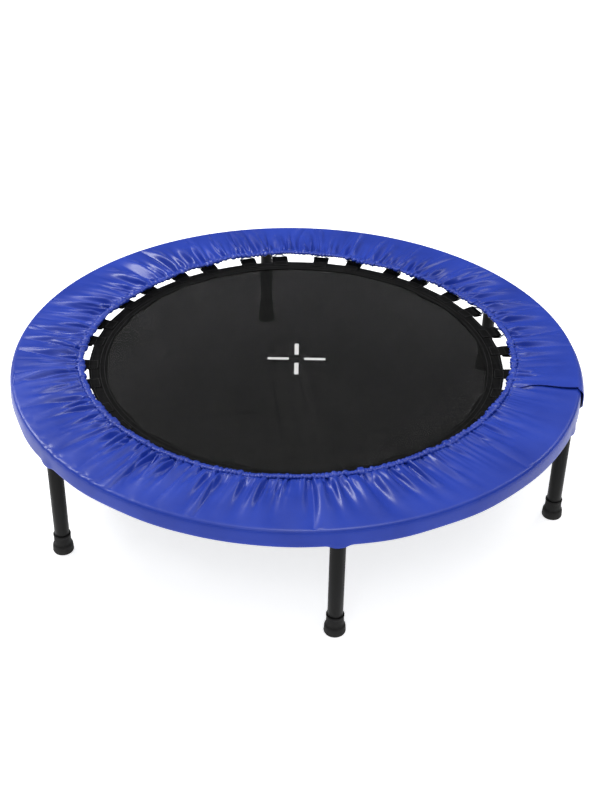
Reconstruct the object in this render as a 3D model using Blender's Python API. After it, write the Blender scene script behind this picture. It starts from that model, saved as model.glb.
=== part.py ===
"""Mini trampoline: a sprung round mat in a six-legged tube ring, under a padded cover.

Units are metres, +Z is up, and the origin is on the floor under the middle of the mat. One leg stands at -Y.
"""

from math import asin, cos, pi, radians, sin, sqrt

import bmesh
import bpy
from mathutils import Matrix, Vector

# Driving dimensions
TUBE_R = 0.0125            # 25 mm steel tube, for the ring and the legs
TUBE_WALL = 0.0012
RING_R = 0.493             # centreline of the ring, and the circle of the legs
RING_Z = 0.1988
GAP = 0.0003               # between pieces that touch

LEG_COUNT = 6
LEG_START = radians(-90)
STUD_R = 0.005             # M10
STUD_BORE_R = 0.0053
BOSS_BOTTOM = 0.1800
BOSS_R = 0.0110
BOSS_TOP = 0.1945          # inside the ring's outline, so the saddle cut takes all of it away
STUD_LENGTH = 0.026
WASHER_THICKNESS = 0.0012
WASHER_R = 0.0122
PLUG_DEPTH = 0.028         # threaded plug in the top of the leg

FOOT_FLANGE_R = 0.0177
FOOT_FLANGE_HEIGHT = 0.0155
FOOT_COLLAR_R = 0.0140
FOOT_HEIGHT = 0.037
FOOT_FLOOR = 0.006

MAT_R = 0.368
MAT_Z = 0.1987             # underside of the mat
MAT_THICKNESS = 0.0012
BAND_INNER_R = 0.339
BAND_OUTER_R = 0.371
BAND_THICKNESS = 0.0016
TAB_END_R = 0.392
TAB_WIDTH = 0.030

SPRING_PAIRS = 16
PAIR_START = radians(2.7)
PAIR_HALF = radians(4.95)  # each spring of a pair stands this far from the pair's middle
SPRING_Z = 0.2010
COIL_R = 0.0060
COIL_START_R = 0.4150      # the closed coils run between these two radii of the trampoline
COIL_END_R = 0.4640
EYE_R = 0.4040             # end of the inner hook
HOOK_WIRE_R = 0.0013
HOOK_HOLE_R = 0.0035

COVER_THICKNESS = 0.0028
COVER_TOP = 0.2160         # top of the panel where it lies over the springs
SKIRT_BOTTOM = 0.1850
SKIRT_R = 0.5090
CASING_INNER_R = 0.3690    # the gathered casing round the cover's inner edge
CASING_BOTTOM = 0.2125
CASING_TOP = 0.2212
CASING_WIDTH = 0.0110

RING_STEPS = 72
RING_SIDES = 12
HOLLOW_SIDES = 8
ROUND_STEPS = 20
COVER_STEPS = 72

RING_TURN = pi / RING_STEPS   # puts the middle of a straight step of the ring over each leg
HOOK_ANGLE = asin((SPRING_Z - RING_Z) / TUBE_R)   # where a spring hook enters the tube, from level


def clear_scene():
    for obj in list(bpy.data.objects):
        bpy.data.objects.remove(obj)


def make_material(name, color, roughness, metallic=0.0):
    material = bpy.data.materials.new(name)
    material.use_nodes = True
    shader = material.node_tree.nodes["Principled BSDF"]
    shader.inputs["Base Color"].default_value = (*color, 1.0)
    shader.inputs["Roughness"].default_value = roughness
    shader.inputs["Metallic"].default_value = metallic
    return material


def add_object(name, mesh, material=None, location=(0, 0, 0), angle=0.0):
    obj = bpy.data.objects.new(name, mesh)
    obj.location = location
    obj.rotation_euler = (0, 0, angle)
    bpy.context.scene.collection.objects.link(obj)
    if material and not mesh.materials:
        mesh.materials.append(material)
    return obj


def finish_mesh(bm, name, smooth=True):
    """Makes a mesh of bm, with its faces pointing out and its sharp edges kept."""
    bmesh.ops.recalc_face_normals(bm, faces=bm.faces)
    mesh = bpy.data.meshes.new(name)
    bm.to_mesh(mesh)
    bm.free()
    if smooth:
        mesh.shade_smooth()
        mesh.set_sharp_from_angle(angle=radians(40))
    return mesh


def turned_mesh(name, profile, steps):
    """Turns a closed outline of (radius, height) points round the Z axis. A point may lie on the axis."""
    bm = bmesh.new()
    corners = [bm.verts.new((r, 0, z)) for r, z in profile]
    edges = [bm.edges.new((corners[i], corners[(i + 1) % len(corners)])) for i in range(len(corners))]
    bmesh.ops.spin(bm, geom=corners + edges, cent=(0, 0, 0), axis=(0, 0, 1), angle=2 * pi, steps=steps,
                   use_merge=True, use_duplicate=False)
    bmesh.ops.remove_doubles(bm, verts=bm.verts, dist=1e-6)
    # An outline edge that lies on the axis leaves faces with no area
    flat = [f for f in bm.faces if f.calc_area() < 1e-12]
    bmesh.ops.delete(bm, geom=flat, context="FACES")
    loose = [e for e in bm.edges if not e.link_faces]
    bmesh.ops.delete(bm, geom=loose, context="EDGES")
    return finish_mesh(bm, name)


def polar(radius, angle, z=0.0):
    return Vector((radius * cos(angle), radius * sin(angle), z))


def circle_profile(center_r, center_z, radius, sides):
    turn = 2 * pi / sides
    return [(center_r + radius * cos(i * turn), center_z + radius * sin(i * turn)) for i in range(sides)]


def leg_angles():
    return [LEG_START + i * 2 * pi / LEG_COUNT for i in range(LEG_COUNT)]


def spring_angles():
    angles = []
    for pair in range(SPRING_PAIRS):
        middle = PAIR_START + pair * 2 * pi / SPRING_PAIRS
        angles += [middle - PAIR_HALF, middle + PAIR_HALF]
    return angles


def cut(obj, cutter):
    modifier = obj.modifiers.new("cut_" + cutter.name, "BOOLEAN")
    modifier.operation = "DIFFERENCE"
    modifier.solver = "EXACT"
    modifier.object = cutter
    cutter.hide_render = True
    cutter.display_type = "WIRE"


def drill_mesh():
    """All the spring holes' drills as one mesh: short six-sided bars through the tube's inner shoulder."""
    bm = bmesh.new()
    inward = Vector((-cos(HOOK_ANGLE), 0, sin(HOOK_ANGLE)))
    for angle in spring_angles():
        entry = Vector((RING_R, 0, RING_Z)) + inward * (TUBE_R - TUBE_WALL / 2)
        tilt = inward.to_track_quat("Z", "Y").to_matrix().to_4x4()
        place = Matrix.Rotation(angle, 4, "Z") @ Matrix.Translation(entry) @ tilt
        bmesh.ops.create_cone(bm, cap_ends=True, segments=6, radius1=HOOK_HOLE_R, radius2=HOOK_HOLE_R,
                              depth=TUBE_WALL * 4, matrix=place)
    return finish_mesh(bm, "spring_hole_drills", smooth=False)


def make_frame_ring(material):
    """The hollow ring. The drilled spring holes open its hollow."""
    outside = turned_mesh("frame_ring", circle_profile(RING_R, RING_Z, TUBE_R, RING_SIDES), RING_STEPS)
    ring = add_object("frame_ring", outside, material, angle=RING_TURN)
    inside = turned_mesh("ring_hollow", circle_profile(RING_R, RING_Z, TUBE_R - TUBE_WALL, HOLLOW_SIDES), RING_STEPS)
    cut(ring, add_object("ring_hollow", inside, angle=RING_TURN))
    cut(ring, add_object("spring_hole_drills", drill_mesh()))
    return ring


def stud_mesh():
    """Boss and stud as one turning, before the boss is saddled to the ring. Z is 0 at the boss's lower face."""
    height = BOSS_TOP - BOSS_BOTTOM
    return turned_mesh("leg_stud", [(0, height), (BOSS_R, height), (BOSS_R, 0), (STUD_R, 0),
                                    (STUD_R, -STUD_LENGTH), (0, -STUD_LENGTH)], ROUND_STEPS)


def washer_mesh():
    return turned_mesh("leg_washer", [(STUD_BORE_R, 0), (WASHER_R, 0), (WASHER_R, -WASHER_THICKNESS),
                                      (STUD_BORE_R, -WASHER_THICKNESS)], ROUND_STEPS)


def leg_top():
    return BOSS_BOTTOM - GAP - WASHER_THICKNESS - GAP


def leg_tube_mesh():
    """Tube open at the foot, with the bored plug in its top. Z is 0 at the top."""
    length = leg_top() - FOOT_FLOOR - GAP
    inner = TUBE_R - TUBE_WALL
    bevel = 0.001
    return turned_mesh("leg_tube", [(STUD_BORE_R, 0), (TUBE_R - bevel, 0), (TUBE_R, -bevel), (TUBE_R, -length),
                                    (inner, -length), (inner, -PLUG_DEPTH), (STUD_BORE_R, -PLUG_DEPTH)],
                       ROUND_STEPS)


def foot_mesh():
    """Rubber cup: a wide flange on the floor and a collar round the tube. Z is 0 on the floor."""
    bevel = 0.0015
    bore = TUBE_R + GAP
    return turned_mesh("foot", [(bore, FOOT_HEIGHT), (FOOT_COLLAR_R, FOOT_HEIGHT),
                                (FOOT_COLLAR_R, FOOT_FLANGE_HEIGHT + bevel), (FOOT_FLANGE_R - bevel, FOOT_FLANGE_HEIGHT),
                                (FOOT_FLANGE_R, FOOT_FLANGE_HEIGHT - bevel), (FOOT_FLANGE_R, bevel),
                                (FOOT_FLANGE_R - bevel, 0), (0, 0), (0, FOOT_FLOOR), (bore, FOOT_FLOOR)],
                       ROUND_STEPS)


def make_legs(paint, zinc, rubber):
    """Each leg: the welded stud, its washer, and the tube with its foot, which screw off together."""
    saddle_profile = circle_profile(RING_R, RING_Z, TUBE_R + GAP, RING_SIDES)
    saddle = add_object("stud_saddle", turned_mesh("stud_saddle", saddle_profile, RING_STEPS), angle=RING_TURN)
    tube = leg_tube_mesh()
    washer = washer_mesh()
    foot = foot_mesh()
    stud = stud_mesh()
    for i, angle in enumerate(leg_angles(), start=1):
        half_step = pi / ROUND_STEPS   # keeps the stud's corners off the saddle's edges
        cut(add_object(f"leg_stud_{i}", stud, paint, polar(RING_R, angle, BOSS_BOTTOM), angle + half_step), saddle)
        add_object(f"leg_washer_{i}", washer, zinc, polar(RING_R, angle, BOSS_BOTTOM - GAP), angle)
        add_object(f"leg_tube_{i}", tube, paint, polar(RING_R, angle, leg_top()), angle)
        add_object(f"foot_{i}", foot, rubber, polar(RING_R, angle), angle)


def make_mat(material):
    profile = [(0, MAT_Z + MAT_THICKNESS), (MAT_R, MAT_Z + MAT_THICKNESS), (MAT_R, MAT_Z), (0, MAT_Z)]
    return add_object("jump_mat", turned_mesh("jump_mat", profile, COVER_STEPS), material)


def border_outline():
    """The band's outer edge with a straight-sided tab at each spring, anticlockwise."""
    half_tab = TAB_WIDTH / 2
    root_r = sqrt(BAND_OUTER_R ** 2 - half_tab ** 2)
    points = []
    for angle in spring_angles():
        turn = Matrix.Rotation(angle, 3, "Z")
        points += [turn @ Vector(p) for p in ((root_r, -half_tab, 0), (TAB_END_R, -half_tab, 0),
                                              (TAB_END_R, half_tab, 0), (root_r, half_tab, 0))]
    return points


def make_border(material):
    """Webbing band with its 32 tabs, lying on the mat's edge. Band and tabs share each tab's four corners."""
    bottom = MAT_Z + MAT_THICKNESS + GAP
    outer = border_outline()
    bm = bmesh.new()
    outer_verts = [bm.verts.new((p.x, p.y, bottom)) for p in outer]
    inner_verts = [bm.verts.new(polar(BAND_INNER_R, Vector(p).xy.angle_signed(Vector((1, 0))), bottom))
                   for p in outer]
    count = len(outer)
    for i in range(count):
        j = (i + 1) % count
        corner = i % 4
        if corner == 0:
            last = i + 3   # the band under a whole tab, then the tab itself
            bm.faces.new((inner_verts[i], outer_verts[i], outer_verts[last], inner_verts[last]))
            bm.faces.new((outer_verts[i], outer_verts[i + 1], outer_verts[i + 2], outer_verts[last]))
        elif corner == 3:
            bm.faces.new((inner_verts[i], outer_verts[i], outer_verts[j], inner_verts[j]))
    bmesh.ops.delete(bm, geom=[v for v in bm.verts if not v.link_faces], context="VERTS")
    skin = bmesh.ops.extrude_face_region(bm, geom=bm.faces[:])
    raised = [g for g in skin["geom"] if isinstance(g, bmesh.types.BMVert)]
    bmesh.ops.translate(bm, verts=raised, vec=(0, 0, BAND_THICKNESS))
    return add_object("mat_border", finish_mesh(bm, "mat_border", smooth=False), material)


def spring_route():
    """Centreline of a spring with the wire's or the coils' radius at each point, on the XZ plane."""
    into_tube = Vector((cos(HOOK_ANGLE), -sin(HOOK_ANGLE)))
    entry = Vector((RING_R - TUBE_R * cos(HOOK_ANGLE), RING_Z + TUBE_R * sin(HOOK_ANGLE)))
    tip = entry + into_tube * 0.0045
    shoulder = entry - into_tube * 0.0008
    return [(EYE_R, SPRING_Z - 0.0035, HOOK_WIRE_R), (EYE_R - 0.0012, SPRING_Z - 0.0008, HOOK_WIRE_R),
            (EYE_R + 0.0030, SPRING_Z + 0.0008, HOOK_WIRE_R), (COIL_START_R - 0.0030, SPRING_Z, HOOK_WIRE_R),
            (COIL_START_R, SPRING_Z, COIL_R), (COIL_END_R, SPRING_Z, COIL_R),
            (COIL_END_R + 0.0030, SPRING_Z, HOOK_WIRE_R),
            (shoulder.x - 0.0040, SPRING_Z + 0.0003, HOOK_WIRE_R),
            (shoulder.x, shoulder.y, HOOK_WIRE_R), (tip.x, tip.y, HOOK_WIRE_R)]


def make_springs(material):
    """Plain solids in the springs' outer shape: a hook, the closed coils and the hook in the tube."""
    route = spring_route()
    for i, angle in enumerate(spring_angles(), start=1):
        curve = bpy.data.curves.new(f"spring_{i:02d}", "CURVE")
        curve.dimensions = "3D"
        curve.bevel_depth = 1.0
        curve.bevel_resolution = 1
        curve.use_fill_caps = True
        spline = curve.splines.new("POLY")
        spline.points.add(len(route) - 1)
        for point, (r, z, radius) in zip(spline.points, route):
            point.co = (r, 0, z, 1)
            point.radius = radius
        curve.materials.append(material)
        obj = bpy.data.objects.new(f"spring_{i:02d}", curve)
        obj.rotation_euler = (0, 0, angle)
        bpy.context.scene.collection.objects.link(obj)


def cover_profile():
    """Outline of the cover: skirt, wrap over the ring, panel over the springs, and the casing at its inner edge."""
    wrap_in = TUBE_R + GAP * 2
    wrap_out = wrap_in + COVER_THICKNESS
    over = [radians(a) for a in (0, 30, 60, 90)]
    outside = [(SKIRT_R, SKIRT_BOTTOM)] + [(RING_R + wrap_out * cos(a), RING_Z + wrap_out * sin(a)) for a in over]
    inside = [(RING_R + wrap_in * cos(a), RING_Z + wrap_in * sin(a)) for a in reversed(over)]
    panel_under = COVER_TOP - COVER_THICKNESS
    rise_r = COIL_END_R + 0.008
    casing_outer = CASING_INNER_R + CASING_WIDTH
    soft = 0.003
    return (outside + [(rise_r, COVER_TOP), (casing_outer + soft, COVER_TOP + 0.001),
                       (casing_outer - soft, CASING_TOP), (CASING_INNER_R + soft, CASING_TOP),
                       (CASING_INNER_R, CASING_TOP - soft), (CASING_INNER_R, CASING_BOTTOM + soft),
                       (CASING_INNER_R + soft, CASING_BOTTOM), (casing_outer, CASING_BOTTOM),
                       (casing_outer + soft * 2, panel_under), (rise_r, panel_under)]
            + inside + [(SKIRT_R - COVER_THICKNESS, SKIRT_BOTTOM)])


def make_cover(material):
    return add_object("cover", turned_mesh("cover", cover_profile(), COVER_STEPS), material)


def build():
    clear_scene()
    blue = make_material("blue_vinyl", (0.02, 0.16, 0.78), 0.32)
    paint = make_material("black_paint", (0.02, 0.02, 0.022), 0.38)
    zinc = make_material("zinc", (0.62, 0.63, 0.65), 0.35, 1.0)
    rubber = make_material("black_rubber", (0.025, 0.025, 0.027), 0.7)
    weave = make_material("black_weave", (0.035, 0.035, 0.04), 0.6)
    webbing = make_material("black_webbing", (0.02, 0.02, 0.022), 0.8)
    make_frame_ring(paint)
    make_legs(paint, zinc, rubber)
    make_mat(weave)
    make_border(webbing)
    make_springs(zinc)
    make_cover(blue)


build()
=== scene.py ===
import math
import bmesh
import bpy
import numpy as np
from mathutils import Matrix, Vector


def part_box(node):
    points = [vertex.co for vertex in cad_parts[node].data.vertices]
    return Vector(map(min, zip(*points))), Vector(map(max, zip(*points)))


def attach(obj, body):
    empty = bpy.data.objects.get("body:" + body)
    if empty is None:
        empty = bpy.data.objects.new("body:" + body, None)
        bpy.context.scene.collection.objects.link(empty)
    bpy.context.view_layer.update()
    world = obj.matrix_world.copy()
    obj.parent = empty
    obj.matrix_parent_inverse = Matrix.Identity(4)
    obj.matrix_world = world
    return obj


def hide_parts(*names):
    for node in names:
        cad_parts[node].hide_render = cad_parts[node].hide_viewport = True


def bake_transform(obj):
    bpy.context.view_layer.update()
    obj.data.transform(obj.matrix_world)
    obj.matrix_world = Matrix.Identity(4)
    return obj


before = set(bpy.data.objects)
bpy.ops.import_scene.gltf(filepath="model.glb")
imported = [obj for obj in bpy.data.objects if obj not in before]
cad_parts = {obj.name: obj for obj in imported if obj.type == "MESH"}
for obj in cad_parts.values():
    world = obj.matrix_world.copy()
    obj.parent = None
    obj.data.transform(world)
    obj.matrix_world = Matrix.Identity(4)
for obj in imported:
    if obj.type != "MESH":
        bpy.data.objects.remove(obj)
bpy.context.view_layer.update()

scene = bpy.context.scene
pi = math.pi

# places and sizes that the pieces share, read from the frame
ringLow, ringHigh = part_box("frame_ring")
borderLow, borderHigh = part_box("mat_border")
_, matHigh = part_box("jump_mat")
tubeR = (ringHigh.z - ringLow.z) / 2
ringR = (ringHigh.x - ringLow.x) / 2 - tubeR
ringZ = (ringHigh.z + ringLow.z) / 2
springZ = (borderLow.z + borderHigh.z) / 2
legCount = 6
springCount = 32


def evenTurns(count):
    return np.linspace(0, 2 * pi, count, endpoint=False)


def shortWay(turn):
    # the same turn, measured the short way round
    return np.angle(np.exp(1j * turn))


def bell(turn, width):
    return np.exp(-(shortWay(turn) / width) ** 2)


def turnedBy(angle, x, y, z):
    cosine, sine = math.cos(angle), math.sin(angle)
    return np.stack([x * cosine - y * sine, x * sine + y * cosine, z], -1)


def angleOf(node):
    low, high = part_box(node)
    return math.atan2(low.y + high.y, low.x + high.x)


legAngles = [angleOf(f"leg_tube_{i}") for i in range(1, legCount + 1)]
springAngles = [angleOf(f"spring_{i:02d}") for i in range(1, springCount + 1)]


cameraPlace = {
    "distance": 2.358,       # from the middle of the cover's top
    "azimuth": -7.85,
    "elevation": 31.6,
    "middleZ": 0.2143,
    "aimRight": 0.0032,      # where the lens points, off that middle, as tangents
    "aimUp": -0.0366,
    "roll": 1.10,
    "lens": 59.0,
}


def makeCamera():
    azimuth, elevation = math.radians(cameraPlace["azimuth"]), math.radians(cameraPlace["elevation"])
    back = Vector((math.sin(azimuth) * math.cos(elevation), -math.cos(azimuth) * math.cos(elevation),
                   math.sin(elevation)))
    forward = -back
    right = forward.cross(Vector((0, 0, 1))).normalized()
    up = right.cross(forward)
    forward = (forward + cameraPlace["aimRight"] * right + cameraPlace["aimUp"] * up).normalized()
    right = forward.cross(Vector((0, 0, 1))).normalized()
    up = right.cross(forward)
    turn = Matrix((right, up, -forward)).transposed().to_4x4() @ Matrix.Rotation(
        math.radians(cameraPlace["roll"]), 4, "Z")
    turn.translation = back * cameraPlace["distance"] + Vector((0, 0, cameraPlace["middleZ"]))
    camera = bpy.data.objects.new("camera", bpy.data.cameras.new("camera"))
    camera.data.lens = cameraPlace["lens"]
    camera.data.sensor_width = 36
    camera.matrix_world = turn
    scene.collection.objects.link(camera)
    scene.camera = camera


studio = {
    "skyTop": (1.0, 1.0, 1.0),
    "skyLow": (0.16, 0.17, 0.19),
    "skyRise": (0.50, 0.92),     # heights between which the dim lower sky turns bright
    "skyStrength": 0.80,
    "background": 1.0,
    "floorColor": (0.93, 0.93, 0.935),
    "floorGlow": 0.72,           # keeps the floor near white in the cover's shade
    "lamps": [   # place, size, watts
        ((-1.9, 1.7, 2.3), 1.1, 62),
        ((2.1, 1.1, 2.2), 0.8, 13),
        ((0.25, -0.35, 3.0), 0.8, 28),
        ((-0.7, -2.6, 2.6), 1.6, 14),
    ],
}


def makeStudio():
    world = bpy.data.worlds.new("studio")
    scene.world = world
    world.use_nodes = True
    tree = world.node_tree
    tree.nodes.clear()
    place = tree.nodes.new("ShaderNodeTexCoord")
    split = tree.nodes.new("ShaderNodeSeparateXYZ")
    ramp = tree.nodes.new("ShaderNodeValToRGB")
    ramp.color_ramp.elements[0].position = studio["skyRise"][0]
    ramp.color_ramp.elements[0].color = (*studio["skyLow"], 1)
    ramp.color_ramp.elements[1].position = studio["skyRise"][1]
    ramp.color_ramp.elements[1].color = (*studio["skyTop"], 1)
    sky = tree.nodes.new("ShaderNodeBackground")
    sky.inputs["Strength"].default_value = studio["skyStrength"]
    plain = tree.nodes.new("ShaderNodeBackground")
    plain.inputs["Strength"].default_value = studio["background"]
    seen = tree.nodes.new("ShaderNodeLightPath")
    mix = tree.nodes.new("ShaderNodeMixShader")
    out = tree.nodes.new("ShaderNodeOutputWorld")
    tree.links.new(place.outputs["Generated"], split.inputs[0])
    tree.links.new(split.outputs["Z"], ramp.inputs[0])
    tree.links.new(ramp.outputs[0], sky.inputs["Color"])
    tree.links.new(seen.outputs["Is Camera Ray"], mix.inputs[0])
    tree.links.new(sky.outputs[0], mix.inputs[1])
    tree.links.new(plain.outputs[0], mix.inputs[2])
    tree.links.new(mix.outputs[0], out.inputs[0])
    for place, size, watts in studio["lamps"]:
        lamp = bpy.data.lights.new("softbox", "AREA")
        lamp.energy = watts
        lamp.size = size
        obj = bpy.data.objects.new("softbox", lamp)
        obj.location = place
        obj.rotation_euler = (Vector((0, 0, 0.2)) - Vector(place)).to_track_quat("-Z", "Y").to_euler()
        scene.collection.objects.link(obj)
    bm = bmesh.new()
    bmesh.ops.create_circle(bm, cap_ends=True, segments=96, radius=9.0)
    mesh = bpy.data.meshes.new("floor")
    bm.to_mesh(mesh)
    bm.free()
    floor = bpy.data.objects.new("floor", mesh)
    scene.collection.objects.link(floor)
    material, shader, _ = newMaterial("pale_floor", studio["floorColor"], 0.8)
    shader.inputs["Emission Color"].default_value = (1, 1, 1, 1)
    shader.inputs["Emission Strength"].default_value = studio["floorGlow"]
    floor.data.materials.append(material)
    scene.view_settings.view_transform = "Standard"


def newMaterial(name, color, roughness, metallic=0.0):
    material = bpy.data.materials.new(name)
    material.use_nodes = True
    shader = material.node_tree.nodes["Principled BSDF"]
    shader.inputs["Base Color"].default_value = (*color, 1)
    shader.inputs["Roughness"].default_value = roughness
    shader.inputs["Metallic"].default_value = metallic
    return material, shader, material.node_tree


def newGroup(name, inputs, outputs):
    group = bpy.data.node_groups.new(name, "ShaderNodeTree")
    for label, kind, value in inputs:
        socket = group.interface.new_socket(label, in_out="INPUT", socket_type=kind)
        if value is not None:
            socket.default_value = value
    for label, kind in outputs:
        group.interface.new_socket(label, in_out="OUTPUT", socket_type=kind)
    return group, group.nodes.new("NodeGroupInput"), group.nodes.new("NodeGroupOutput")


def mathNode(tree, operation, a, b=None, clamp=False):
    node = tree.nodes.new("ShaderNodeMath")
    node.operation = operation
    node.use_clamp = clamp
    for socket, value in zip(node.inputs, (a, b)):
        if isinstance(value, (int, float)):
            socket.default_value = value
        elif value is not None:
            tree.links.new(value, socket)
    return node.outputs[0]


def spread(tree, value, low, high, toLow=0.0, toHigh=1.0):
    node = tree.nodes.new("ShaderNodeMapRange")
    node.inputs["From Min"].default_value = low
    node.inputs["From Max"].default_value = high
    node.inputs["To Min"].default_value = toLow
    node.inputs["To Max"].default_value = toHigh
    tree.links.new(value, node.inputs["Value"])
    return node.outputs["Result"]


def noise(tree, vector, scale, detail=2.0, roughness=0.5):
    node = tree.nodes.new("ShaderNodeTexNoise")
    node.inputs["Scale"].default_value = scale
    node.inputs["Detail"].default_value = detail
    node.inputs["Roughness"].default_value = roughness
    tree.links.new(vector, node.inputs["Vector"])
    return node.outputs["Fac"]


def objectPlace(tree):
    return tree.nodes.new("ShaderNodeTexCoord").outputs["Object"]


def stretched(tree, vector, scale):
    node = tree.nodes.new("ShaderNodeMapping")
    node.inputs["Scale"].default_value = scale
    tree.links.new(vector, node.inputs["Vector"])
    return node.outputs["Vector"]


def placed(tree, group, vector, **values):
    node = tree.nodes.new("ShaderNodeGroup")
    node.node_tree = group
    tree.links.new(vector, node.inputs["Vector"])
    for label, value in values.items():
        node.inputs[label].default_value = value
    return node


def blendColor(tree, factor, colorA, colorB):
    node = tree.nodes.new("ShaderNodeMix")
    node.data_type = "RGBA"
    for socket, value in ((node.inputs[6], colorA), (node.inputs[7], colorB)):
        if isinstance(value, tuple):
            socket.default_value = (*value, 1)
        else:
            tree.links.new(value, socket)
    tree.links.new(factor, node.inputs[0])
    return node.outputs[2]


def bump(tree, shader, height, distance, strength=1.0):
    node = tree.nodes.new("ShaderNodeBump")
    node.inputs["Distance"].default_value = distance
    node.inputs["Strength"].default_value = strength
    tree.links.new(height, node.inputs["Height"])
    tree.links.new(node.outputs[0], shader.inputs["Normal"])


def makeWeaveGroup():
    # plain weave: the threads' height, the holes between them, and the uneven thickness of single threads
    group, start, end = newGroup(
        "weave",
        [("Vector", "NodeSocketVector", None), ("Threads", "NodeSocketFloat", 700.0),
         ("Hole", "NodeSocketFloat", 0.1)],
        [("Height", "NodeSocketFloat"), ("Holes", "NodeSocketFloat"), ("Slubs", "NodeSocketFloat")])
    split = group.nodes.new("ShaderNodeSeparateXYZ")
    group.links.new(start.outputs["Vector"], split.inputs[0])
    threads = [mathNode(group, "MULTIPLY", split.outputs[i], start.outputs["Threads"]) for i in (0, 1)]
    turns = [mathNode(group, "MULTIPLY", thread, pi) for thread in threads]
    across = mathNode(group, "SINE", turns[0])
    along = mathNode(group, "SINE", turns[1])
    crossing = mathNode(group, "MULTIPLY", across, along)
    group.links.new(mathNode(group, "MULTIPLY_ADD", crossing, 0.5), end.inputs["Height"])
    edge = mathNode(group, "SUBTRACT", 1.0, start.outputs["Hole"])
    gaps = [mathNode(group, "ABSOLUTE", mathNode(group, "COSINE", turn)) for turn in turns]
    openAcross, openAlong = [mathNode(group, "GREATER_THAN", gap, edge) for gap in gaps]
    group.links.new(mathNode(group, "MULTIPLY", openAcross, openAlong), end.inputs["Holes"])
    warp = noise(group, stretched(group, start.outputs["Vector"], (300, 4, 1)), 1.0)
    weft = noise(group, stretched(group, start.outputs["Vector"], (4, 300, 1)), 1.0)
    slubs = mathNode(group, "ADD", warp, weft)
    group.links.new(mathNode(group, "MULTIPLY", slubs, 0.5), end.inputs["Slubs"])
    return group


def makeGrainGroup():
    # fine skin grain, its slow variation, and thin scratches where things have rubbed along
    group, start, end = newGroup(
        "grain",
        [("Vector", "NodeSocketVector", None), ("Fineness", "NodeSocketFloat", 900.0),
         ("Patches", "NodeSocketFloat", 12.0), ("Rubbing", "NodeSocketFloat", 0.5)],
        [("Height", "NodeSocketFloat"), ("Patch", "NodeSocketFloat"), ("Scratches", "NodeSocketFloat")])
    fine = group.nodes.new("ShaderNodeTexVoronoi")
    group.links.new(start.outputs["Vector"], fine.inputs["Vector"])
    group.links.new(start.outputs["Fineness"], fine.inputs["Scale"])
    group.links.new(fine.outputs["Distance"], end.inputs["Height"])
    slow = group.nodes.new("ShaderNodeTexNoise")
    slow.inputs["Detail"].default_value = 4
    group.links.new(start.outputs["Vector"], slow.inputs["Vector"])
    group.links.new(start.outputs["Patches"], slow.inputs["Scale"])
    group.links.new(slow.outputs["Fac"], end.inputs["Patch"])
    lines = noise(group, stretched(group, start.outputs["Vector"], (260, 260, 9)), 1.0, 3.0, 0.7)
    limit = mathNode(group, "SUBTRACT", 0.80, mathNode(group, "MULTIPLY", start.outputs["Rubbing"], 0.2))
    over = mathNode(group, "SUBTRACT", lines, limit)
    group.links.new(mathNode(group, "MULTIPLY", over, 9.0, clamp=True), end.inputs["Scratches"])
    return group


def makeDustGroup():
    # pale dust that gathers near the floor, broken up by noise
    group, start, end = newGroup(
        "floor_dust",
        [("Vector", "NodeSocketVector", None), ("Reach", "NodeSocketFloat", 0.05),
         ("Amount", "NodeSocketFloat", 0.3)],
        [("Mask", "NodeSocketFloat")])
    split = group.nodes.new("ShaderNodeSeparateXYZ")
    group.links.new(start.outputs["Vector"], split.inputs[0])
    above = mathNode(group, "DIVIDE", split.outputs["Z"], start.outputs["Reach"])
    low = mathNode(group, "SUBTRACT", 1.0, above, clamp=True)
    broken = noise(group, start.outputs["Vector"], 140.0, 4.0, 0.65)
    mask = mathNode(group, "MULTIPLY", mathNode(group, "MULTIPLY", low, broken), start.outputs["Amount"])
    group.links.new(mask, end.inputs["Mask"])
    return group


weaveGroup = makeWeaveGroup()
grainGroup = makeGrainGroup()
dustGroup = makeDustGroup()

vinylLook = {
    "deep": (0.010, 0.034, 0.31),
    "bright": (0.014, 0.046, 0.39),
    "roughness": (0.33, 0.44),
    "specular": 0.38,
    "skirtSpecular": 0.16,   # the skirt below the rim is duller
    "coat": 0.08,
    "coatRoughness": 0.20,
    "lining": (0.30, 0.33, 0.40),
}


def makeVinyl(name, specular):
    material, shader, tree = newMaterial(name, vinylLook["bright"], 0.3)
    place = objectPlace(tree)
    grain = placed(tree, grainGroup, place, Fineness=950.0, Patches=9.0, Rubbing=0.0)
    patch = spread(tree, grain.outputs["Patch"], 0.35, 0.65)
    color = blendColor(tree, patch, vinylLook["deep"], vinylLook["bright"])
    tree.links.new(color, shader.inputs["Base Color"])
    gloss = spread(tree, grain.outputs["Patch"], 0.3, 0.7, *vinylLook["roughness"])
    tree.links.new(gloss, shader.inputs["Roughness"])
    shader.inputs["Specular IOR Level"].default_value = specular
    shader.inputs["Coat Weight"].default_value = vinylLook["coat"]
    shader.inputs["Coat Roughness"].default_value = vinylLook["coatRoughness"]
    creases = noise(tree, place, 38.0, 3.0, 0.5)
    relief = mathNode(tree, "ADD", mathNode(tree, "MULTIPLY", grain.outputs["Height"], 0.12), creases)
    bump(tree, shader, relief, 0.0010, 0.35)
    return material


def makeLining():
    material, shader, tree = newMaterial("cover_lining", vinylLook["lining"], 0.85)
    weave = placed(tree, weaveGroup, objectPlace(tree), Threads=900.0, Hole=0.0)
    tree.links.new(blendColor(tree, weave.outputs["Slubs"], (0.22, 0.25, 0.33), (0.42, 0.45, 0.52)),
                   shader.inputs["Base Color"])
    bump(tree, shader, weave.outputs["Height"], 0.0003, 0.5)
    return material


matLook = {
    "dark": (0.001, 0.001, 0.001),
    "light": (0.0085, 0.0085, 0.008),
    "threads": 620.0,        # per metre
    "hole": 0.012,
    "roughness": (0.55, 0.70),
    "specular": 0.06,
}


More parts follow.
